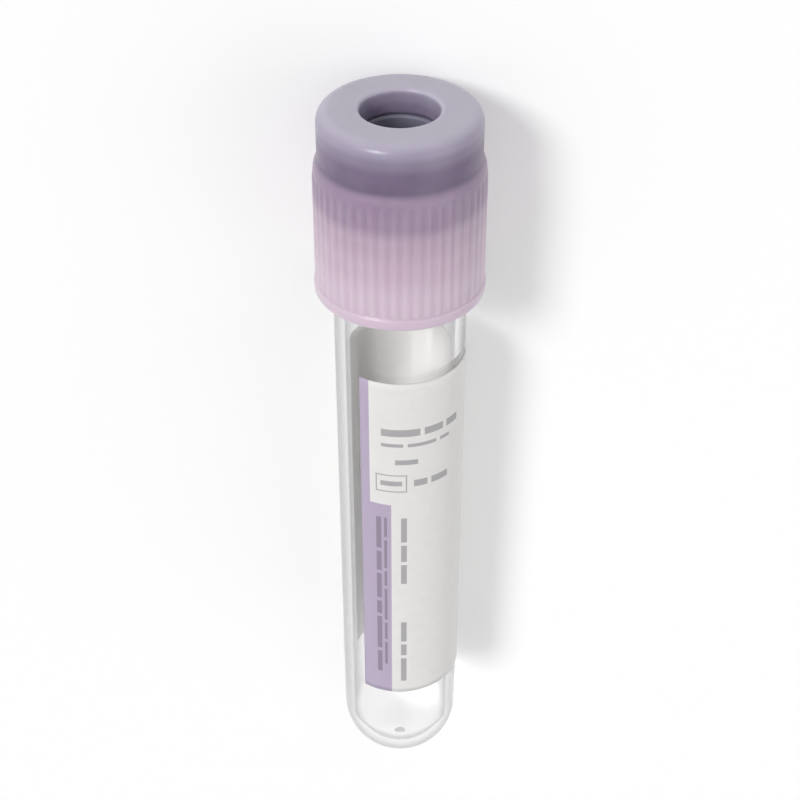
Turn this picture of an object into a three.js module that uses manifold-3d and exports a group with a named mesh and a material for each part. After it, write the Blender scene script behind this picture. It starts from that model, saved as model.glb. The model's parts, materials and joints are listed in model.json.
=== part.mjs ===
// A 13 x 75 mm blood collection tube: a clear moulded tube with a paper label, closed by a
// rubber stopper that is held inside a translucent ribbed shield.
//
// Millimetres, +Z up. The tube is built upright, with its round tip at height 0, and the closure
// is built on the mouth plane. The finished assembly is then laid on its side along +Y, where it
// rests on its round end and on the band round the shield's hem.

import * as THREE from 'three';
import { mergeVertices } from 'three/addons/utils/BufferGeometryUtils.js';
import Module from 'manifold-3d';

const wasm = await Module();
wasm.setup();

// Tube
const tubeLength = 75;
const tubeDiameter = 13; // outside, at the mouth
const tubeWall = 1.0;
const tubeDraft = 0.25; // degrees, each side, narrowing towards the tip
const rimRadius = 0.3;
const domeSteps = 10;

// Stopper
const plugLength = 8;
const plugClearance = 0.05; // all round, between plug and bore
const plugLeadIn = 0.7;
const sealBandHeight = 1.2; // the two raised bands that seal against the bore
const sealBandRelief = 0.25; // how far the plug is set back between and below them
const flangeThickness = 2.7;
const flangeOverhang = 0.2; // beyond the tube's outside
const flangeFillet = 0.35;
const wellRadius = 3.55;
const wellTaper = 0.15;
const wellDepth = 2.9;
const wellDish = 0.35; // how much deeper the well's floor is at its middle
const wellLip = 0.3; // fillet round the well's mouth
const wellFillet = 0.6; // round its floor
const septumThickness = 3.4;
const cavityRadius = 2.9; // at the plug's lower end
const cavityTaper = 0.5;
const cavityFillet = 1.2;
const plugEndFillet = 0.3;

// Shield
const seatGap = 0.05; // between the flange and the rim below it, and the ring above it
const pocketClearance = 0.05; // all round, between flange and shield
const beadClearance = 0.1; // all round, between the retaining bead and the tube
const beadHeight = 1.0;
const skirtClearance = 0.35; // all round, between skirt and tube
const skirtDrop = 13.4; // below the mouth
const skirtWall = 1.2;
const ringWall = 0.9;
const ringThickness = 2.6;
const ringShoulder = 1.2; // fillet round the top
const holeRadius = 3.7;
const holeFillet = 0.35;
const stepTop = 0.8; // above the mouth, where the ring begins to slope out to the skirt
const stepHeight = 1.0;
const stepFillet = 1.2;
const hemBand = 1.1; // height of the smooth band round the hem
const hemProud = 0.2; // how far the band stands out of the skirt
const hemFillet = 0.45;
const ribCount = 48;
const ribHeight = 0.1; // beyond the skirt's corners
const ribWidth = 0.52;
const ribBevel = 0.14;
const ribRoot = 0.3; // how far a rib reaches into the skirt's wall
const ribStart = 0.4; // below the slope
const ribRunOut = 0.4; // length of the slope at a rib's upper end

// Label
const labelThickness = 0.1;
const labelGlue = 0.03;
const labelBottom = 13; // above the tip
const labelHeight = 41.5;
const bareAngle = 70; // degrees of tube that the label leaves bare
const bareCentre = 198; // degrees round from +X, seen from the mouth

// Facets: the outside of the shield has one flat to two ribs, and all other round faces have one
// to each rib.
const shieldSegments = ribCount / 2;
const roundSegments = ribCount;
const filletStep = 30; // degrees of turn to a facet in fillets

const { degToRad, lerp } = THREE.MathUtils;
const tubeRadius = tubeDiameter / 2;
const draftSlope = Math.tan(degToRad(tubeDraft));
const flangeRadius = tubeRadius + flangeOverhang;
const flangeTop = seatGap + flangeThickness; // above the mouth
const shieldTop = flangeTop + seatGap + ringThickness; // above the mouth
const skirtRadius = tubeRadius + skirtClearance + skirtWall;
const hemRadius = skirtRadius + hemProud;
const ribCrest = skirtRadius + ribHeight;

function tubeOuterRadius(height) {
  return tubeRadius - (tubeLength - height) * draftSlope;
}

function boreRadius(height) {
  return tubeOuterRadius(height) - tubeWall / Math.cos(degToRad(tubeDraft));
}

// The round end is part of a sphere whose surface runs into the tapered wall without a crease.
const domeRadius = tubeOuterRadius(0) * Math.cos(degToRad(tubeDraft)) / (1 - Math.sin(degToRad(tubeDraft)));

// Points on an arc of an outline, with angles in degrees from the outward direction.
function arc(centreRadius, centreHeight, radius, startAngle, endAngle, steps) {
  return Array.from({ length: steps + 1 }, (_, i) => {
    const angle = degToRad(lerp(startAngle, endAngle, i / steps));
    return new THREE.Vector2(
      centreRadius + radius * Math.cos(angle),
      centreHeight + radius * Math.sin(angle),
    );
  });
}

// Turns corners, each [radius, height, fillet], into the points of an outline. The fillet is
// optional, and the ends of an open outline have none.
function filleted(corners) {
  return corners.flatMap(([radius, height, fillet], i) => {
    const corner = new THREE.Vector2(radius, height);
    if (!fillet) return [corner];
    const before = new THREE.Vector2(...corners.at(i - 1)).sub(corner).normalize();
    const after = new THREE.Vector2(...corners[(i + 1) % corners.length]).sub(corner).normalize();
    const half = Math.acos(THREE.MathUtils.clamp(before.dot(after), -1, 1)) / 2;
    const towards = before.clone().add(after).normalize();
    const centre = corner.clone().addScaledVector(towards, fillet / Math.sin(half));
    const start = before.multiplyScalar(fillet / Math.tan(half)).add(corner).sub(centre);
    const end = after.multiplyScalar(fillet / Math.tan(half)).add(corner).sub(centre);
    const turn = Math.atan2(start.cross(end), start.dot(end));
    const steps = Math.ceil(Math.abs(turn) / degToRad(filletStep));
    return Array.from({ length: steps + 1 }, (_, k) =>
      start.clone().rotateAround(new THREE.Vector2(), turn * k / steps).add(centre));
  });
}

// Turns an outline round the vertical axis, with a flat, and not a corner, facing down once the
// part lies on its side.
function revolved(outline, segments = roundSegments) {
  const geometry = new THREE.LatheGeometry(outline, segments, Math.PI / segments);
  return solid(geometry.rotateX(Math.PI / 2));
}

function closed(outline) {
  return [...outline, outline[0]];
}

function solid(geometry) {
  geometry.deleteAttribute('normal');
  geometry.deleteAttribute('uv');
  const merged = mergeVertices(geometry);
  return new wasm.Manifold(new wasm.Mesh({
    numProp: 3,
    vertProperties: merged.attributes.position.array,
    triVerts: Uint32Array.from(merged.index.array),
  }));
}

function meshOf(name, body, material) {
  const { vertProperties, triVerts } = body.getMesh();
  const geometry = new THREE.BufferGeometry();
  geometry.setAttribute('position', new THREE.BufferAttribute(vertProperties, 3));
  geometry.setIndex(new THREE.BufferAttribute(triVerts, 1));
  geometry.computeVertexNormals();
  const mesh = new THREE.Mesh(geometry, material);
  mesh.name = name;
  return mesh;
}

// Tube: one wall thickness all over, a round end, a slight draft and a rounded rim.
function tubeBody() {
  const outer = arc(0, domeRadius, domeRadius, -90, -tubeDraft, domeSteps);
  const rim = filleted([
    [tubeOuterRadius(tubeLength / 2), tubeLength / 2],
    [tubeRadius, tubeLength, rimRadius],
    [boreRadius(tubeLength), tubeLength, rimRadius],
    [boreRadius(tubeLength / 2), tubeLength / 2],
  ]).slice(1, -1);
  const inner = arc(0, domeRadius, domeRadius - tubeWall, -tubeDraft, -90, domeSteps);
  outer[0].x = 0;
  inner.at(-1).x = 0;
  return revolved([...outer, ...rim, ...inner]);
}

// Stopper: a flange on the rim, a plug with two sealing bands in the bore, a well above the
// septum for the needle, and a cavity below it. Heights are from the mouth.
function stopperBody() {
  const plugRadius = (depth) => boreRadius(tubeLength - depth) - plugClearance;
  const setBack = (depth) => plugRadius(depth) - sealBandRelief;
  const bandDepths = [sealBandHeight, plugLength - plugLeadIn - sealBandHeight];
  const wellFloor = flangeTop - wellDepth;
  const cavityRoof = wellFloor - septumThickness;
  return revolved(filleted([
    [0, cavityRoof],
    [cavityRadius - cavityTaper, cavityRoof, cavityFillet],
    [cavityRadius, -plugLength, plugEndFillet],
    [setBack(plugLength) - plugLeadIn / 2, -plugLength, plugEndFillet],
    [plugRadius(bandDepths[1] + sealBandHeight), -bandDepths[1] - sealBandHeight],
    [plugRadius(bandDepths[1]), -bandDepths[1]],
    [setBack(bandDepths[1]), -bandDepths[1] + sealBandRelief],
    [setBack(bandDepths[0] + sealBandHeight), -bandDepths[0] - sealBandHeight - sealBandRelief],
    [plugRadius(bandDepths[0] + sealBandHeight), -bandDepths[0] - sealBandHeight],
    [plugRadius(bandDepths[0]), -bandDepths[0]],
    [setBack(bandDepths[0]), -bandDepths[0] + sealBandRelief],
    [setBack(0), seatGap],
    [flangeRadius, seatGap, flangeFillet],
    [flangeRadius, flangeTop, flangeFillet],
    [wellRadius, flangeTop, wellLip],
    [wellRadius - wellTaper, wellFloor + wellDish, wellFillet],
    [0, wellFloor],
  ]));
}

// A rib of the skirt: its side outline is drawn in height against radius, and its long edges
// and upper end are bevelled. It points along +X.
function ribBody(bottom, top) {
  const root = skirtRadius - ribRoot;
  const outline = new THREE.Shape([
    new THREE.Vector2(root, bottom),
    new THREE.Vector2(ribCrest, bottom),
    new THREE.Vector2(ribCrest, top - ribRunOut),
    new THREE.Vector2(skirtRadius, top),
    new THREE.Vector2(root, top),
  ]);
  const depth = ribWidth - 2 * ribBevel;
  const geometry = new THREE.ExtrudeGeometry(outline, {
    depth,
    bevelThickness: ribBevel,
    bevelSize: ribBevel,
    bevelOffset: -ribBevel,
    bevelSegments: 1,
  });
  return solid(geometry.translate(0, 0, -depth / 2).rotateX(Math.PI / 2));
}

// Shield: a thick ring over the stopper with a hole for the needle, a pocket and a bead that
// hold the flange, and a wider ribbed skirt round the tube, with a band round its hem. Heights
// are from the mouth. The inside is cut out of the outside, and the cut runs past both ends.
function shieldBody() {
  const pocketRadius = flangeRadius + pocketClearance;
  const pocketTop = flangeTop + seatGap;
  const ringRadius = pocketRadius + ringWall;
  const beadRadius = tubeRadius + beadClearance;
  const skirtBore = tubeRadius + skirtClearance;
  const stepFoot = stepTop - stepHeight;
  const bandTop = hemBand - skirtDrop;
  const outside = revolved(filleted([
    [0, -skirtDrop],
    [hemRadius, -skirtDrop, hemFillet],
    [hemRadius, bandTop],
    [skirtRadius, bandTop + hemProud],
    [skirtRadius, stepFoot, stepFillet],
    [ringRadius, stepTop, stepFillet],
    [ringRadius, shieldTop, ringShoulder],
    [0, shieldTop],
  ]), shieldSegments);
  const hemLand = (skirtBore + hemRadius) / 2; // on the flat end of the hem
  const holeLand = (holeRadius + ringRadius) / 2; // on the flat top of the ring
  const pastEnd = 1;
  const inside = revolved(filleted([
    [0, -skirtDrop - pastEnd],
    [hemLand, -skirtDrop - pastEnd],
    [hemLand, -skirtDrop],
    [skirtBore, -skirtDrop, hemFillet],
    [skirtBore, -beadHeight],
    [beadRadius, -beadHeight / 2],
    [beadRadius, -beadClearance],
    [pocketRadius, 0],
    [pocketRadius, pocketTop],
    [holeRadius, pocketTop, holeFillet],
    [holeRadius, shieldTop, holeFillet],
    [holeLand, shieldTop],
    [holeLand, shieldTop + pastEnd],
    [0, shieldTop + pastEnd],
  ]));
  const rib = ribBody(bandTop - hemBand / 2, stepFoot - ribStart);
  return Array.from({ length: ribCount }, (_, i) => rib.rotate([0, 0, (i + 0.5) * 360 / ribCount]))
    .reduce((body, next) => body.add(next), outside.subtract(inside));
}

// Label: a thin sleeve that follows the tube's taper, cut away along the strip left bare.
function labelBody() {
  const inside = (height) => tubeOuterRadius(height) + labelGlue;
  const labelTop = labelBottom + labelHeight;
  const sleeve = revolved(closed([
    new THREE.Vector2(inside(labelBottom), labelBottom),
    new THREE.Vector2(inside(labelBottom) + labelThickness, labelBottom),
    new THREE.Vector2(inside(labelTop) + labelThickness, labelTop),
    new THREE.Vector2(inside(labelTop), labelTop),
  ]));
  const reach = tubeDiameter;
  const half = degToRad(bareAngle / 2);
  const sector = new THREE.Shape([
    new THREE.Vector2(0, 0),
    new THREE.Vector2(reach * Math.cos(half), -reach * Math.sin(half)),
    new THREE.Vector2(reach * Math.cos(half), reach * Math.sin(half)),
  ]);
  const wedge = new THREE.ExtrudeGeometry(sector, { depth: tubeLength, bevelEnabled: false });
  return sleeve.subtract(solid(wedge.rotateZ(degToRad(bareCentre))));
}

const clearPlastic = new THREE.MeshStandardMaterial({
  color: 0xe4e8e6,
  roughness: 0.08,
  metalness: 0,
  transparent: true,
  opacity: 0.35,
});
const paper = new THREE.MeshStandardMaterial({ color: 0xf0eff0, roughness: 0.7, metalness: 0 });
const rubber = new THREE.MeshStandardMaterial({ color: 0x4c475c, roughness: 0.75, metalness: 0 });
const lavenderPlastic = new THREE.MeshStandardMaterial({
  color: 0xb8a6c8,
  roughness: 0.4,
  metalness: 0,
});

const tube = new THREE.Group();
tube.add(meshOf('tube', tubeBody(), clearPlastic));
tube.add(meshOf('label', labelBody(), paper));

const closure = new THREE.Group();
closure.add(meshOf('stopper', stopperBody(), rubber));
closure.add(meshOf('shield', shieldBody(), lavenderPlastic));
closure.position.z = tubeLength;

// Laid down, the line from the round end to the hem's band lies on the floor, so the axis climbs
// towards the closure. A flat faces down, so the part touches the floor a little nearer to its
// axis than its full radii.
const hemTouchHeight = tubeLength - skirtDrop + hemFillet;
const hemTouch = hemRadius * Math.cos(Math.PI / shieldSegments);
const domeTouch = domeRadius * Math.cos(Math.PI / roundSegments);
const reachAlong = hemTouchHeight - domeRadius;
const axisClimb = Math.atan2(hemTouch, reachAlong) - Math.asin(domeTouch / Math.hypot(reachAlong, hemTouch));

const lying = new THREE.Group();
lying.add(tube, closure);
lying.rotation.x = axisClimb - Math.PI / 2;

const bloodCollectionTube = new THREE.Group();
bloodCollectionTube.add(lying);
bloodCollectionTube.updateMatrixWorld(true);
const box = new THREE.Box3().setFromObject(bloodCollectionTube, true);
const middle = box.getCenter(new THREE.Vector3());
lying.position.set(-middle.x, -middle.y, -box.min.z);

export default bloodCollectionTube;
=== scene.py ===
"""The looks of a blood collection tube lying on its side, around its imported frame.

Outlines are in millimetres in the tube's own upright frame: radius from the axis, height above
the round tip. `placed` turns them into metres in the row frame.
"""
import json
from functools import reduce
from math import asin, atan2, ceil, cos, hypot, pi, radians, sin, tan

import bpy
import numpy as np
from mathutils import Matrix, Vector


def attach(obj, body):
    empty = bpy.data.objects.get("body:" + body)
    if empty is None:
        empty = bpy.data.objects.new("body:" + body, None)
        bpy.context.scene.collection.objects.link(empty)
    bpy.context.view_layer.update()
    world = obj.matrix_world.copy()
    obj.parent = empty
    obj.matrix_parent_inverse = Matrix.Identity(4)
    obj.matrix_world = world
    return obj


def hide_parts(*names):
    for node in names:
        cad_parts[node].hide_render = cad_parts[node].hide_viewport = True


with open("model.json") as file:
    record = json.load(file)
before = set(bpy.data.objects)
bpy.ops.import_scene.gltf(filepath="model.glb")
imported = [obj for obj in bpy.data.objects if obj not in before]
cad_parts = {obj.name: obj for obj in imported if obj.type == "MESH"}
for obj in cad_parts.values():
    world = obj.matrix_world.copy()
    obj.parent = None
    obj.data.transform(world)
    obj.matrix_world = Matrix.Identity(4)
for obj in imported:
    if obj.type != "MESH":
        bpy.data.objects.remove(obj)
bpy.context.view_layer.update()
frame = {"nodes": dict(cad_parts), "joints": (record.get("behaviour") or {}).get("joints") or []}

MM = 0.001

# ---- The upright frame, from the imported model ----

axis = Vector(frame["joints"][0]["axis"]).normalized()
across = Vector((1, 0, 0))
below = axis.cross(across)
tip = min((v.co for v in frame["nodes"]["tube"].data.vertices), key=axis.dot).copy()
upright = Matrix((across, below, axis)).transposed().to_4x4()
upright.translation = tip


def measured(node):
    """The radii and heights of a CAD node's corners about the tube's axis, in mm."""
    to_upright = upright.inverted()
    corners = np.array([to_upright @ v.co for v in frame["nodes"][node].data.vertices]) / MM
    return np.hypot(corners[:, 0], corners[:, 1]), corners[:, 2]


# The CAD's round faces are flats between corners, 48 of them or, round the hem, 24. The smooth
# ones lie against the flats.
ROUND_TO_FLAT = cos(pi / 48)
HEM_TO_FLAT = cos(pi / 24)
tube_radii, tube_heights = measured("tube")
stopper_radii, stopper_heights = measured("stopper")
shield_radii, shield_heights = measured("shield")
label_heights = measured("label")[1]
TUBE_RADIUS = tube_radii.max() * ROUND_TO_FLAT
MOUTH = tube_heights.max()
FLANGE_RADIUS = stopper_radii.max() * ROUND_TO_FLAT
FLANGE_TOP = stopper_heights.max()
PLUG_END = stopper_heights.min()
HEM_RADIUS = shield_radii.max() * HEM_TO_FLAT
HEM = shield_heights.min()
SHIELD_TOP = shield_heights.max()
LABEL_BOTTOM = label_heights.min()
LABEL_TOP = label_heights.max()

# ---- Sizes that those corners don't give, mm ----

# Tube
TUBE_WALL = 1.0
TUBE_DRAFT = radians(0.25)
RIM_FILLET = 0.3
MATT_RIM = 0.7  # how much of that fillet's height is matt
GATE_RADIUS = 0.7
GATE_FLAT = 0.75  # how much of that radius is flat
GATE_DEPTH = 0.08

# Stopper
PLUG_GAP = 0.05  # all round, between plug and bore
PLUG_LEAD_IN = 0.7
PLUG_END_FILLET = 0.3
SEAL_HEIGHT = 1.2  # of each of the two bands that seal against the bore
SEAL_RELIEF = 0.25  # how far the plug is set back between and below them
SEAL_FILLET = 0.1
RELIEF_FILLET = 0.15
SEAT_GAP = 0.05  # below and above the flange, and round it
FLANGE_FILLET = 0.35
WELL_RADIUS = 3.55
WELL_TAPER = 0.15
WELL_DEPTH = 2.9
WELL_DISH = 0.35  # how much deeper the well's floor is at its middle
WELL_LIP = 0.3
WELL_FILLET = 0.6
SEPTUM_THICKNESS = 3.4
CAVITY_RADIUS = 2.9  # at the plug's end
CAVITY_TAPER = 0.5
CAVITY_FILLET = 1.2

# Shield. Its step, its skirt's top, its bead and its ribs' upper ends are measured from the
# tube's mouth.
RING_WALL = 0.93  # from the flange to the outside
RING_SHOULDER = 1.2
HOLE_RADIUS = 3.7
HOLE_FILLET = 0.35
POCKET_ROOF_FILLET = 0.1
POCKET_FLOOR_FILLET = 0.05
STEP_ABOVE = 0.8
STEP_BELOW = 0.2
STEP_FILLET = 1.2
SKIRT_TOP = 0.8  # short of the step's fillet
BEAD_GAP = 0.1  # all round, between bead and tube
BEAD_START = 0.1
BEAD_END = 0.5
BEAD_RUN_OUT = 1.0
BEAD_FILLET = 0.1
SKIRT_GAP = 0.37  # all round, between skirt and tube
SKIRT_BORE_FILLET = 0.2
HEM_FILLET = 0.45
BAND_HEIGHT = 1.1
BAND_PROUD = 0.2  # how far the hem band stands out of the skirt
BAND_SLOPE = 0.25
BAND_FILLET = 0.15
BAND_ROOT_FILLET = 0.2
RIB_COUNT = 48
RIB_HEIGHT = 0.1
RIB_END = 0.6
RIB_RUN_OUT = 0.5
RING_RADIUS = FLANGE_RADIUS + RING_WALL
SKIRT_RADIUS = HEM_RADIUS - BAND_PROUD

# Label
LABEL_THICKNESS = 0.1
LABEL_GLUE = 0.03
BARE_ANGLE = radians(70)
BARE_CENTRE = radians(198)

# ---- How finely the smooth shapes are cut ----

ROUND_STEPS = 192
STEPS_PER_RIB = 10
FILLET_STEP = radians(9)
OUTER_DOME_STEPS = 40
INNER_DOME_STEPS = 36
SKIRT_RINGS = 22
LABEL_COLUMNS = 150
LABEL_ROWS = 60
LONG_STRETCH = 0.5  # mm
HOLD = 0.12  # mm from the end of a long stretch to the point that keeps it flat
NEAR = 0.01  # mm, for telling which surface a point is on

# ---- Outlines ----

def arc(centre, radius, start, end, steps):
    angles = np.linspace(start, end, steps + 1)
    return [(centre[0] + radius * cos(a), centre[1] + radius * sin(a)) for a in angles]


def filleted(corners):
    """Outline points from (radius, height) or (radius, height, fillet) corners."""
    points = []
    for i, corner in enumerate(corners):
        here = Vector(corner[:2])
        if len(corner) < 3:
            points.append(tuple(here))
            continue
        before = (Vector(corners[i - 1][:2]) - here).normalized()
        after = (Vector(corners[(i + 1) % len(corners)][:2]) - here).normalized()
        half = before.angle(after) / 2
        fillet = corner[2]
        centre = here + (before + after).normalized() * fillet / sin(half)
        start = here + before * fillet / tan(half) - centre
        end = here + after * fillet / tan(half) - centre
        first = atan2(start.y, start.x)
        turn = pi - 2 * half
        steps = max(1, ceil(turn / FILLET_STEP))
        if start.x * end.y - start.y * end.x < 0:
            turn = -turn
        points += arc(centre, fillet, first, first + turn, steps)
    return points


def held(points, closed):
    """Adds points close to both ends of each long stretch, so that smooth shading keeps it flat."""
    found = []
    for i, p in enumerate(points):
        found.append(p)
        if i + 1 == len(points) and not closed:
            break
        q = points[(i + 1) % len(points)]
        length = hypot(q[0] - p[0], q[1] - p[1])
        if length > LONG_STRETCH:
            for t in (HOLD / length, 1 - HOLD / length):
                found.append((p[0] + (q[0] - p[0]) * t, p[1] + (q[1] - p[1]) * t))
    return found


# ---- Meshes ----

def placed(name, vertices, faces, body, node, material):
    """A smooth mesh from upright millimetre points, riding on a body in place of a CAD node."""
    mesh = bpy.data.meshes.new(name)
    mesh.from_pydata([upright @ (Vector(v) * MM) for v in vertices], [], faces)
    mesh.validate()
    mesh.shade_smooth()
    mesh.materials.append(material)
    piece = bpy.data.objects.new(name, mesh)
    bpy.context.scene.collection.objects.link(piece)
    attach(piece, body)
    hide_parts(node)
    return piece


def revolved(outline, closed, steps=ROUND_STEPS, relief=None):
    """Vertices and faces of an outline turned round the axis. An open one has its ends on it."""
    ends = () if closed else (outline[0], outline[-1])
    rings = outline if closed else outline[1:-1]
    vertices, faces = [], []
    for radius, height in rings:
        for k in range(steps):
            turn = 2 * pi * k / steps
            r = radius + (relief(turn, radius, height) if relief else 0)
            vertices.append((r * cos(turn), r * sin(turn), height))
    for j in range(len(rings) if closed else len(rings) - 1):
        low = j * steps
        high = (j + 1) % len(rings) * steps
        for k in range(steps):
            n = (k + 1) % steps
            faces.append((low + k, low + n, high + n, high + k))
    for end, ring in zip(ends, (0, (len(rings) - 1) * steps)):
        pole = len(vertices)
        vertices.append((0, 0, end[1]))
        for k in range(steps):
            n = (k + 1) % steps
            faces.append((pole, ring + n, ring + k) if ring == 0 else (pole, ring + k, ring + n))
    return vertices, faces


# ---- The tube ----

def wall_radius(height):
    return TUBE_RADIUS - (MOUTH - height) * tan(TUBE_DRAFT)


def bore_radius(height):
    return wall_radius(height) - TUBE_WALL / cos(TUBE_DRAFT)


def tube_outline():
    """From the gate mark under the tip, up the outside, over the rim and down the bore."""
    dome_radius = wall_radius(0) * cos(TUBE_DRAFT) / (1 - sin(TUBE_DRAFT))
    centre = (0, dome_radius)
    gate_edge = asin(GATE_RADIUS / dome_radius)
    gate = [(0, GATE_DEPTH), (GATE_RADIUS * GATE_FLAT, GATE_DEPTH)]
    outer = arc(centre, dome_radius, gate_edge - pi / 2, -TUBE_DRAFT, OUTER_DOME_STEPS)
    inner = arc(centre, dome_radius - TUBE_WALL, -TUBE_DRAFT, -pi / 2, INNER_DOME_STEPS)
    inner[-1] = (0, inner[-1][1])
    middle = MOUTH / 2
    rim = filleted([
        (wall_radius(middle), middle),
        (TUBE_RADIUS, MOUTH, RIM_FILLET),
        (bore_radius(MOUTH), MOUTH, RIM_FILLET),
        (bore_radius(middle), middle),
    ])[1:-1]
    return held(gate + outer + rim + inner, closed=False)


def make_tube(material, matt_material):
    """The clear tube, with a second material on its rim and its gate mark."""
    vertices, faces = revolved(tube_outline(), closed=False)
    tube = placed("clear_tube", vertices, faces, "tube", "tube", material)
    tube.data.materials.append(matt_material)
    matt_rim = MOUTH - RIM_FILLET * MATT_RIM
    for face in tube.data.polygons:
        radii = [hypot(vertices[i][0], vertices[i][1]) for i in face.vertices]
        heights = [vertices[i][2] for i in face.vertices]
        in_gate = max(radii) < GATE_RADIUS + NEAR and max(heights) < TUBE_WALL / 2
        if in_gate or min(heights) > matt_rim:
            face.material_index = 1


# ---- The stopper ----

def stopper_outline():
    """From the cavity's roof down to the plug's end, up the outside, and over the flange to the
    well's floor."""
    def plug(depth):
        return bore_radius(MOUTH - depth) - PLUG_GAP

    def seal(depth):
        """A raised band whose upper side is this deep in the bore, from its lower side up."""
        return [
            (plug(depth + SEAL_HEIGHT), MOUTH - depth - SEAL_HEIGHT, SEAL_FILLET),
            (plug(depth), MOUTH - depth, SEAL_FILLET),
            (plug(depth) - SEAL_RELIEF, MOUTH - depth + SEAL_RELIEF, RELIEF_FILLET),
        ]

    upper_seal = SEAL_HEIGHT
    under_upper = upper_seal + SEAL_HEIGHT
    lower_seal = MOUTH - PLUG_END - PLUG_LEAD_IN - SEAL_HEIGHT
    well_floor = FLANGE_TOP - WELL_DEPTH
    cavity_roof = well_floor - SEPTUM_THICKNESS
    return held(filleted([
        (0, cavity_roof),
        (CAVITY_RADIUS - CAVITY_TAPER, cavity_roof, CAVITY_FILLET),
        (CAVITY_RADIUS, PLUG_END, PLUG_END_FILLET),
        (plug(MOUTH - PLUG_END) - SEAL_RELIEF - PLUG_LEAD_IN / 2, PLUG_END, PLUG_END_FILLET),
        *seal(lower_seal),
        (plug(under_upper) - SEAL_RELIEF, MOUTH - under_upper - SEAL_RELIEF, RELIEF_FILLET),
        *seal(upper_seal),
        (plug(0) - SEAL_RELIEF, MOUTH + SEAT_GAP, SEAL_FILLET),
        (FLANGE_RADIUS, MOUTH + SEAT_GAP, FLANGE_FILLET),
        (FLANGE_RADIUS, FLANGE_TOP, FLANGE_FILLET),
        (WELL_RADIUS, FLANGE_TOP, WELL_LIP),
        (WELL_RADIUS - WELL_TAPER, well_floor + WELL_DISH, WELL_FILLET),
        (0, well_floor),
    ]), closed=False)


def make_stopper(material):
    vertices, faces = revolved(stopper_outline(), closed=False)
    placed("rubber_stopper", vertices, faces, "closure", "stopper", material)


# ---- The shield ----

def shield_outline():
    """From the hem up the outside, in through the needle hole, and down inside past the bead."""
    band_top = HEM + BAND_HEIGHT
    pocket = FLANGE_RADIUS + SEAT_GAP
    pocket_roof = FLANGE_TOP + SEAT_GAP
    bead = TUBE_RADIUS + BEAD_GAP
    skirt_bore = TUBE_RADIUS + SKIRT_GAP
    skirt_heights = np.linspace(band_top + 2 * BAND_SLOPE, MOUTH - SKIRT_TOP, SKIRT_RINGS)
    return held(filleted([
        (HEM_RADIUS, HEM, HEM_FILLET),
        (HEM_RADIUS, band_top, BAND_FILLET),
        (SKIRT_RADIUS, band_top + BAND_SLOPE, BAND_ROOT_FILLET),
        *[(SKIRT_RADIUS, height) for height in skirt_heights],
        (SKIRT_RADIUS, MOUTH - STEP_BELOW, STEP_FILLET),
        (RING_RADIUS, MOUTH + STEP_ABOVE, STEP_FILLET),
        (RING_RADIUS, SHIELD_TOP, RING_SHOULDER),
        (HOLE_RADIUS, SHIELD_TOP, HOLE_FILLET),
        (HOLE_RADIUS, pocket_roof, HOLE_FILLET),
        (pocket, pocket_roof, POCKET_ROOF_FILLET),
        (pocket, MOUTH, POCKET_FLOOR_FILLET),
        (bead, MOUTH - BEAD_START, BEAD_FILLET),
        (bead, MOUTH - BEAD_END, BEAD_FILLET),
        (skirt_bore, MOUTH - BEAD_RUN_OUT, SKIRT_BORE_FILLET),
        (skirt_bore, HEM, HEM_FILLET),
    ]), closed=True)


def rib_relief(turn, radius, height):
    """How far a rib stands out of the skirt here: low, round-topped, and run out towards the step."""
    if abs(radius - SKIRT_RADIUS) > NEAR:
        return 0
    along = min(max((MOUTH - RIB_END - height) / RIB_RUN_OUT, 0), 1)
    phase = abs((turn * RIB_COUNT / (2 * pi)) % 1 - 0.5)
    round_top = cos(pi * phase) ** 2
    return RIB_HEIGHT * round_top * along * along * (3 - 2 * along)


def make_shield(material):
    steps = RIB_COUNT * STEPS_PER_RIB
    vertices, faces = revolved(shield_outline(), closed=True, steps=steps, relief=rib_relief)
    placed("ribbed_shield", vertices, faces, "closure", "shield", material)


# ---- The label ----

def make_label(material):
    """A sheet of paper round the tube, from one side of the bare strip to the other. Its attribute
    `flat` holds each point's place on the sheet laid flat, in mm: across, up and through."""
    columns, rows = LABEL_COLUMNS, LABEL_ROWS
    start = BARE_CENTRE + BARE_ANGLE / 2
    sweep = 2 * pi - BARE_ANGLE
    vertices, flat = [], []
    for lift in (LABEL_GLUE, LABEL_GLUE + LABEL_THICKNESS):
        for j in range(rows + 1):
            height = LABEL_BOTTOM + (LABEL_TOP - LABEL_BOTTOM) * j / rows
            radius = wall_radius(height) + lift
            for i in range(columns + 1):
                turn = start + sweep * i / columns
                vertices.append((radius * cos(turn), radius * sin(turn), height))
                flat.append((sweep * i / columns * TUBE_RADIUS, height - LABEL_BOTTOM, lift))
    row = columns + 1
    sheet = row * (rows + 1)
    faces = []
    for j in range(rows):
        for i in range(columns):
            a = j * row + i
            faces.append((a, a + row, a + row + 1, a + 1))
            faces.append((sheet + a, sheet + a + 1, sheet + a + row + 1, sheet + a + row))
    for i in range(columns):
        top = rows * row + i
        faces.append((i, i + 1, sheet + i + 1, sheet + i))
        faces.append((top + 1, top, sheet + top, sheet + top + 1))
    for j in range(rows):
        left = j * row
        right = left + columns
        faces.append((left + row, left, sheet + left, sheet + left + row))
        faces.append((right, right + row, sheet + right + row, sheet + right))
    label = placed("paper_label", vertices, faces, "tube", "label", material)
    where = label.data.attributes.new("flat", "FLOAT_VECTOR", "POINT")
    where.data.foreach_set("vector", np.array(flat, np.float32).ravel())


# ---- The label's print, mm: across from its left edge, up from its bottom ----

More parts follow.
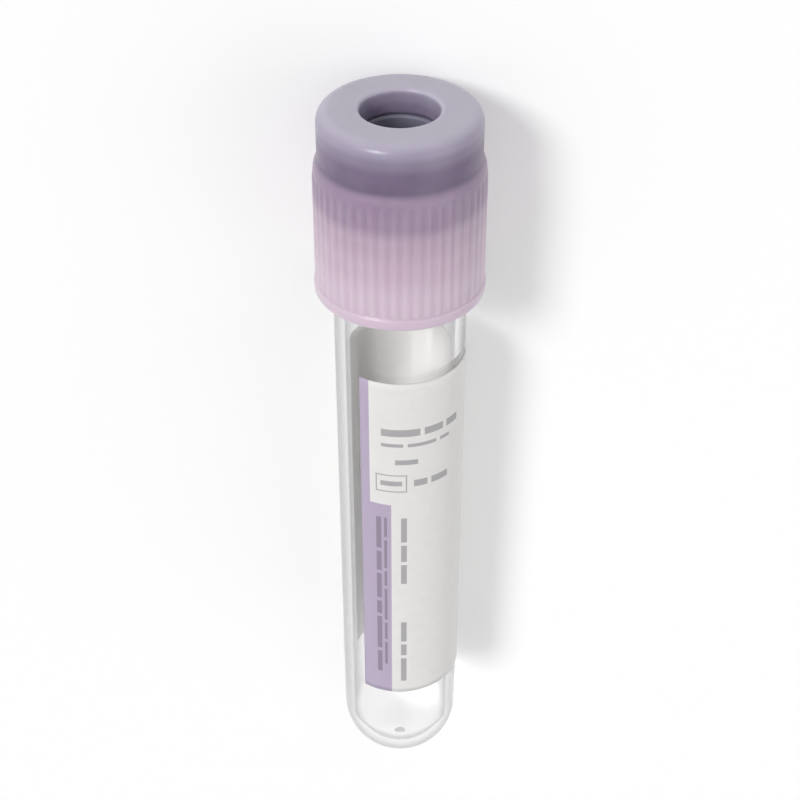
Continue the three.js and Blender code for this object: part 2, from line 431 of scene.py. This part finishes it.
PAST_EDGE = -1  # where a field that runs off the paper's edge begins
STRIPE_WIDTH = 1.05
FIELD_WIDTH = 3.3
FIELD_HEIGHT = 26.5
FRAME = (1.7, 4.9, 28.2, 30.4)  # left, right, low, high
FRAME_LINE = 0.14
WRITING_LEFTS = (17.5, 22.0, 26.5)  # of the three writing lines on the hidden side
WRITING_ENDS = (4.0, 34.0)  # low, high
WRITING_LINE = 0.14
WORD_SPACE = 0.45
PRINT_FADE = 0.03  # over which a printed edge goes from paper to ink

# Lines of plain bars in place of print: left end, bottom, height, and the bars' lengths.
LEVEL_LINES = (
    (2.3, 35.2, 0.85, (3.9, 2.1, 1.6)),
    (2.3, 33.9, 0.4, (2.2, 3.0, 1.2)),
    (3.7, 31.7, 0.6, (2.3,)),
    (2.2, 29.0, 0.6, (2.2,)),
    (5.6, 28.9, 0.8, (1.4, 2.0)),
)
# The same turned on their side: upper end, left side, width, and the bars' lengths.
UPRIGHT_LINES = (
    (24.8, 1.7, 0.55, (4.2, 2.6, 3.4, 1.8, 4.6, 3.0)),
    (24.8, 2.55, 0.3, (2.6, 3.8, 2.0, 4.4, 2.4, 3.2)),
    (24.8, 4.3, 0.6, (3.2, 2.2, 2.6)),
    (10.4, 4.3, 0.6, (2.8, 1.6, 3.4)),
    *((38.0, left, 0.5, (3.4,)) for left in WRITING_LEFTS),
)


def print_bars():
    """All that is printed in ink, as (left, right, low, high) bars."""
    bars = []
    for left, low, height, words in LEVEL_LINES:
        for word in words:
            bars.append((left, left + word, low, low + height))
            left += word + WORD_SPACE
    for top, left, width, words in UPRIGHT_LINES:
        for word in words:
            bars.append((left, left + width, top - word, top))
            top -= word + WORD_SPACE
    for left in WRITING_LEFTS:
        bars.append((left, left + WRITING_LINE, *WRITING_ENDS))
    left, right, low, high = FRAME
    bars.append((left, right, low, low + FRAME_LINE))
    bars.append((left, right, high - FRAME_LINE, high))
    bars.append((left, left + FRAME_LINE, low, high))
    bars.append((right - FRAME_LINE, right, low, high))
    return bars


# ---- Materials ----

class Nodes:
    """The node tree of a material or a world, with short ways to add nodes and link sockets."""

    def __init__(self, owner, output="ShaderNodeOutputMaterial"):
        owner.use_nodes = True
        self.owner = owner
        self.tree = owner.node_tree
        self.tree.nodes.clear()
        self.output = self.add(output)

    def add(self, kind, inputs=None, **settings):
        node = self.tree.nodes.new(kind)
        for key, value in settings.items():
            setattr(node, key, value)
        for key, value in (inputs or {}).items():
            self.feed(node.inputs[key], value)
        return node

    def feed(self, socket, value):
        if isinstance(value, bpy.types.NodeSocket):
            self.tree.links.new(value, socket)
        else:
            socket.default_value = value

    def finish(self, shader):
        self.feed(self.output.inputs["Surface"], shader)
        return self.owner

    def maths(self, operation, a, b):
        return self.add("ShaderNodeMath", {0: a, 1: b}, operation=operation).outputs[0]

    def product(self, *values):
        return reduce(lambda a, b: self.maths("MULTIPLY", a, b), values)

    def most(self, values):
        return reduce(lambda a, b: self.maths("MAXIMUM", a, b), values)

    def ramp(self, value, low, high):
        """A smooth rise from 0 at low to 1 at high."""
        inputs = {"Value": value, "From Min": low, "From Max": high}
        return self.add("ShaderNodeMapRange", inputs, interpolation_type="SMOOTHSTEP").outputs[0]

    def within(self, value, low, high):
        """1 where value lies between low and high, with soft edges."""
        rise = self.ramp(value, low - PRINT_FADE / 2, low + PRINT_FADE / 2)
        fall = self.ramp(value, high - PRINT_FADE / 2, high + PRINT_FADE / 2)
        return self.maths("SUBTRACT", rise, fall)

    def patch(self, u, v, left, right, low, high):
        """1 inside a rectangle of the flat label."""
        return self.product(self.within(u, left, right), self.within(v, low, high))

    def mix(self, share, a, b):
        """The colour b where share is 1, and a where it is 0."""
        return self.add("ShaderNodeMix", {0: share, 6: a, 7: b}, data_type="RGBA").outputs[2]

    def colours_along(self, value, stops):
        """A smooth run of colours through (value, colour) stops."""
        low, high = stops[0][0], stops[-1][0]
        share = self.add("ShaderNodeMapRange", {"Value": value, "From Min": low, "From Max": high})
        node = self.add("ShaderNodeValToRGB", {0: share.outputs[0]})
        ramp = node.color_ramp
        ramp.interpolation = "EASE"
        for stop, colour in stops[1:-1]:
            ramp.elements.new((stop - low) / (high - low)).color = colour
        ramp.elements[0].color = stops[0][1]
        ramp.elements[-1].color = stops[-1][1]
        return node.outputs["Color"]

    def place(self):
        return self.add("ShaderNodeTexCoord").outputs["Object"]

    def height(self, place):
        """Height above the round tip along the tube's axis, in mm."""
        along = self.add("ShaderNodeVectorMath", {0: place, 1: axis / MM}, operation="DOT_PRODUCT")
        return self.maths("SUBTRACT", along.outputs["Value"], axis.dot(tip) / MM)

    def noise(self, place, per_metre, detail):
        inputs = {"Vector": place, "Scale": per_metre, "Detail": detail}
        return self.add("ShaderNodeTexNoise", inputs).outputs["Fac"]

    def bump(self, height, depth):
        """A normal for a surface whose height runs from 0 to 1, over a depth in mm."""
        return self.add("ShaderNodeBump", {"Height": height, "Distance": depth * MM}).outputs[0]

    def shader(self, **inputs):
        """A Principled shader. Its inputs are written with _ for each space in their names."""
        named = {key.replace("_", " "): value for key, value in inputs.items()}
        return self.add("ShaderNodeBsdfPrincipled", named).outputs[0]

    def either(self, share, a, b):
        """The shader b where share is 1, and a where it is 0."""
        return self.add("ShaderNodeMixShader", {0: share, 1: a, 2: b}).outputs[0]


def srgb(*levels):
    """A colour written as it looks, 0 to 255, in the linear values that shaders take."""
    shares = [level / 255 for level in levels]
    return (*(s / 12.92 if s <= 0.04045 else ((s + 0.055) / 1.055) ** 2.4 for s in shares), 1)


PLASTIC_IOR = 1.57  # of the tube's polyester
EDGE_SHADE_FACING = (0.4, 0.85)  # Facing, between which the clear wall goes from clear to a painted grey shade
MILKINESS = 0.16
INK_STRENGTH = 0.55


def clear_plastic():
    """Clear polyester, with painted shade that makes it greyer where it is seen edge on, in place of
    dark edges. Light from lamps passes straight through.
    """
    n = Nodes(bpy.data.materials.new("clear plastic"))
    facing = n.add("ShaderNodeLayerWeight", {"Blend": 0.5}).outputs["Facing"]
    clear = n.shader(
        # painted shade: the base colour goes grey where the wall is seen edge on
        Base_Color=n.mix(n.ramp(facing, *EDGE_SHADE_FACING), srgb(248, 248, 248), srgb(146, 144, 149)),
        Roughness=0.02,
        IOR=PLASTIC_IOR,
        Transmission_Weight=1.0,
        Normal=n.bump(n.noise(n.place(), per_metre=120, detail=2), depth=0.006),
    )
    passing = n.add("ShaderNodeBsdfTransparent", {"Color": srgb(248, 248, 248)}).outputs[0]
    shadow_ray = n.add("ShaderNodeLightPath").outputs["Is Shadow Ray"]
    return n.finish(n.either(shadow_ray, clear, passing))


def matt_plastic():
    """The tube's rim and its gate mark, which the mould leaves matt."""
    n = Nodes(bpy.data.materials.new("matt plastic"))
    grain = n.noise(n.place(), per_metre=2400, detail=3)
    return n.finish(n.shader(
        Base_Color=n.mix(grain, srgb(214, 213, 216), srgb(232, 231, 234)),
        Roughness=0.45,
        IOR=PLASTIC_IOR,
        Transmission_Weight=0.3,
        Normal=n.bump(grain, depth=0.01),
    ))


def shield_plastic():
    """Milky lavender, its colour painted by height: pink and light at the hem, painted shade of the
    stopper behind the wall, darker over the plug and darkest over the flange, and grey on top."""
    n = Nodes(bpy.data.materials.new("lavender plastic"))
    place = n.place()
    # painted shade: the stopper behind the wall, darker over the plug and darkest over the flange
    body = n.colours_along(n.height(place), [
        (MOUTH - 10.5, srgb(214, 194, 210)),
        (MOUTH - 7.0, srgb(203, 180, 198)),
        (MOUTH - 4.2, srgb(189, 166, 186)),
        (MOUTH - 2.4, srgb(158, 133, 161)),
        (MOUTH + 0.1, srgb(153, 129, 157)),
        (MOUTH + 0.9, srgb(102, 81, 117)),
        (MOUTH + 2.4, srgb(106, 86, 122)),
        (MOUTH + 3.6, srgb(136, 124, 150)),
        (MOUTH + 4.5, srgb(157, 149, 171)),
        (SHIELD_TOP, srgb(181, 176, 191)),
    ])
    cloud = n.product(n.noise(place, per_metre=260, detail=3), MILKINESS)
    return n.finish(n.shader(
        Base_Color=n.mix(cloud, body, srgb(236, 232, 240)),
        Roughness=0.32,
        IOR=1.5,
        Subsurface_Weight=1.0,
        Subsurface_Radius=(1.0, 0.8, 1.0),
        Subsurface_Scale=1.4 * MM,
        Normal=n.bump(n.noise(place, per_metre=2600, detail=3), depth=0.015),
    ))


def stopper_rubber():
    n = Nodes(bpy.data.materials.new("rubber"))
    place = n.place()
    mottle = n.noise(place, per_metre=500, detail=3)
    return n.finish(n.shader(
        Base_Color=n.mix(mottle, srgb(116, 113, 130), srgb(132, 129, 146)),
        Roughness=0.5,
        IOR=1.5,
        Normal=n.bump(n.noise(place, per_metre=3200, detail=3), depth=0.02),
    ))


def label_paper():
    """White paper that lets some light through. Its outer face has lavender fields down the left
    edge, grey bars for lines of print, and writing lines."""
    n = Nodes(bpy.data.materials.new("paper"))
    flat = n.add("ShaderNodeAttribute", attribute_name="flat").outputs["Vector"]
    u, v, lift = n.add("ShaderNodeSeparateXYZ", {0: flat}).outputs
    outer = n.maths("GREATER_THAN", lift, LABEL_GLUE + LABEL_THICKNESS / 2)
    stripe = n.within(u, PAST_EDGE, STRIPE_WIDTH)
    field = n.patch(u, v, PAST_EDGE, FIELD_WIDTH, PAST_EDGE, FIELD_HEIGHT)
    ink = n.most(n.patch(u, v, *bar) for bar in print_bars())
    fibre = n.noise(n.place(), per_metre=900, detail=4)
    paper = n.mix(fibre, srgb(232, 230, 228), srgb(241, 239, 237))
    paper = n.mix(n.product(outer, n.most((stripe, field))), paper, srgb(190, 177, 200))
    return n.finish(n.shader(
        Base_Color=n.mix(n.product(outer, ink, INK_STRENGTH), paper, srgb(104, 100, 114)),
        Roughness=0.55,
        Subsurface_Weight=1.0,
        Subsurface_Radius=(1.0, 1.0, 1.0),
        Subsurface_Scale=0.13 * MM,
        Normal=n.bump(fibre, depth=0.012),
    ))


# ---- Camera, light and floor ----

CAMERA_RISE = radians(27.1)  # above the plane of the closure's top, at its middle
CAMERA_DISTANCE = 0.160  # m, from the middle of the closure's top
CAMERA_DIP = radians(36.5)  # below that plane, the way that the camera looks
FIELD = radians(25.5)
SENSOR_WIDTH = 36  # mm
WORLD_LIGHT = 0.5
LAMP_DISTANCE = 0.5  # m. A sun lamp gives the same light from anywhere.
FLOOR_SIZE = 4  # m
FLOOR_SHADE = 0.86
FLOOR_GLOW = 0.195  # brings the lit floor up to the white behind it
WHITE = (1, 1, 1, 1)
SEEING_RAYS = ("Is Camera Ray", "Is Glossy Ray", "Is Transmission Ray")


def add_camera():
    out = -below
    top = tip + axis * SHIELD_TOP * MM
    seat = top + (out * cos(CAMERA_RISE) + axis * sin(CAMERA_RISE)) * CAMERA_DISTANCE
    back = out * cos(CAMERA_DIP) + axis * sin(CAMERA_DIP)
    right = axis.cross(back).normalized()
    data = bpy.data.cameras.new("camera")
    data.sensor_width = SENSOR_WIDTH
    data.lens = SENSOR_WIDTH / 2 / tan(FIELD / 2)
    data.clip_start = 0.01
    data.clip_end = 20
    camera = bpy.data.objects.new("camera", data)
    turned = Matrix((right, back.cross(right), back)).transposed().to_4x4()
    turned.translation = seat
    camera.matrix_world = turned
    bpy.context.scene.collection.objects.link(camera)
    bpy.context.scene.camera = camera


def add_floor():
    """A pale floor. The camera, a gloss and a clear wall see it a little brighter than it is lit."""
    bpy.ops.mesh.primitive_plane_add(size=FLOOR_SIZE)
    floor = bpy.context.object
    floor.name = "floor"
    n = Nodes(bpy.data.materials.new("floor"))
    rays = n.add("ShaderNodeLightPath")
    seen = n.most(rays.outputs[kind] for kind in SEEING_RAYS)
    floor.data.materials.append(n.finish(n.shader(
        Base_Color=(FLOOR_SHADE, FLOOR_SHADE, FLOOR_SHADE, 1),
        Roughness=0.9,
        Specular_IOR_Level=0.0,
        Emission_Color=WHITE,
        Emission_Strength=n.product(seen, FLOOR_GLOW),
    )))


def light_world():
    """An even soft light, which the camera, a gloss or a clear wall sees as plain white."""
    world = bpy.data.worlds.new("world")
    bpy.context.scene.world = world
    n = Nodes(world, "ShaderNodeOutputWorld")
    rays = n.add("ShaderNodeLightPath")
    white = n.add("ShaderNodeBackground", {"Color": WHITE, "Strength": 1.0}).outputs[0]
    seen = n.add("ShaderNodeBackground", {"Color": WHITE, "Strength": WORLD_LIGHT}).outputs[0]
    for kind in SEEING_RAYS:
        seen = n.either(rays.outputs[kind], seen, white)
    n.finish(seen)


def add_lamp(name, towards, spread, strength):
    """A soft sun lamp in a direction given from the object. Its light passes the clear tube as
    shadow rays, so the rays that bend through the wall don't meet it a second time."""
    data = bpy.data.lights.new(name, "SUN")
    data.angle = spread
    data.energy = strength
    lamp = bpy.data.objects.new(name, data)
    lamp.visible_transmission = False
    lamp.location = Vector(towards) * LAMP_DISTANCE
    lamp.rotation_euler = Vector(towards).to_track_quat("Z", "Y").to_euler()
    bpy.context.scene.collection.objects.link(lamp)


add_camera()
bpy.context.scene.view_settings.view_transform = "Standard"
add_floor()
light_world()
add_lamp("key", towards=(-0.5, 0.45, 0.75), spread=radians(16), strength=1.5)
add_lamp("fill", towards=(0.75, -0.2, 0.6), spread=radians(50), strength=0.4)

make_tube(clear_plastic(), matt_plastic())
make_stopper(stopper_rubber())
make_shield(shield_plastic())
make_label(label_paper())
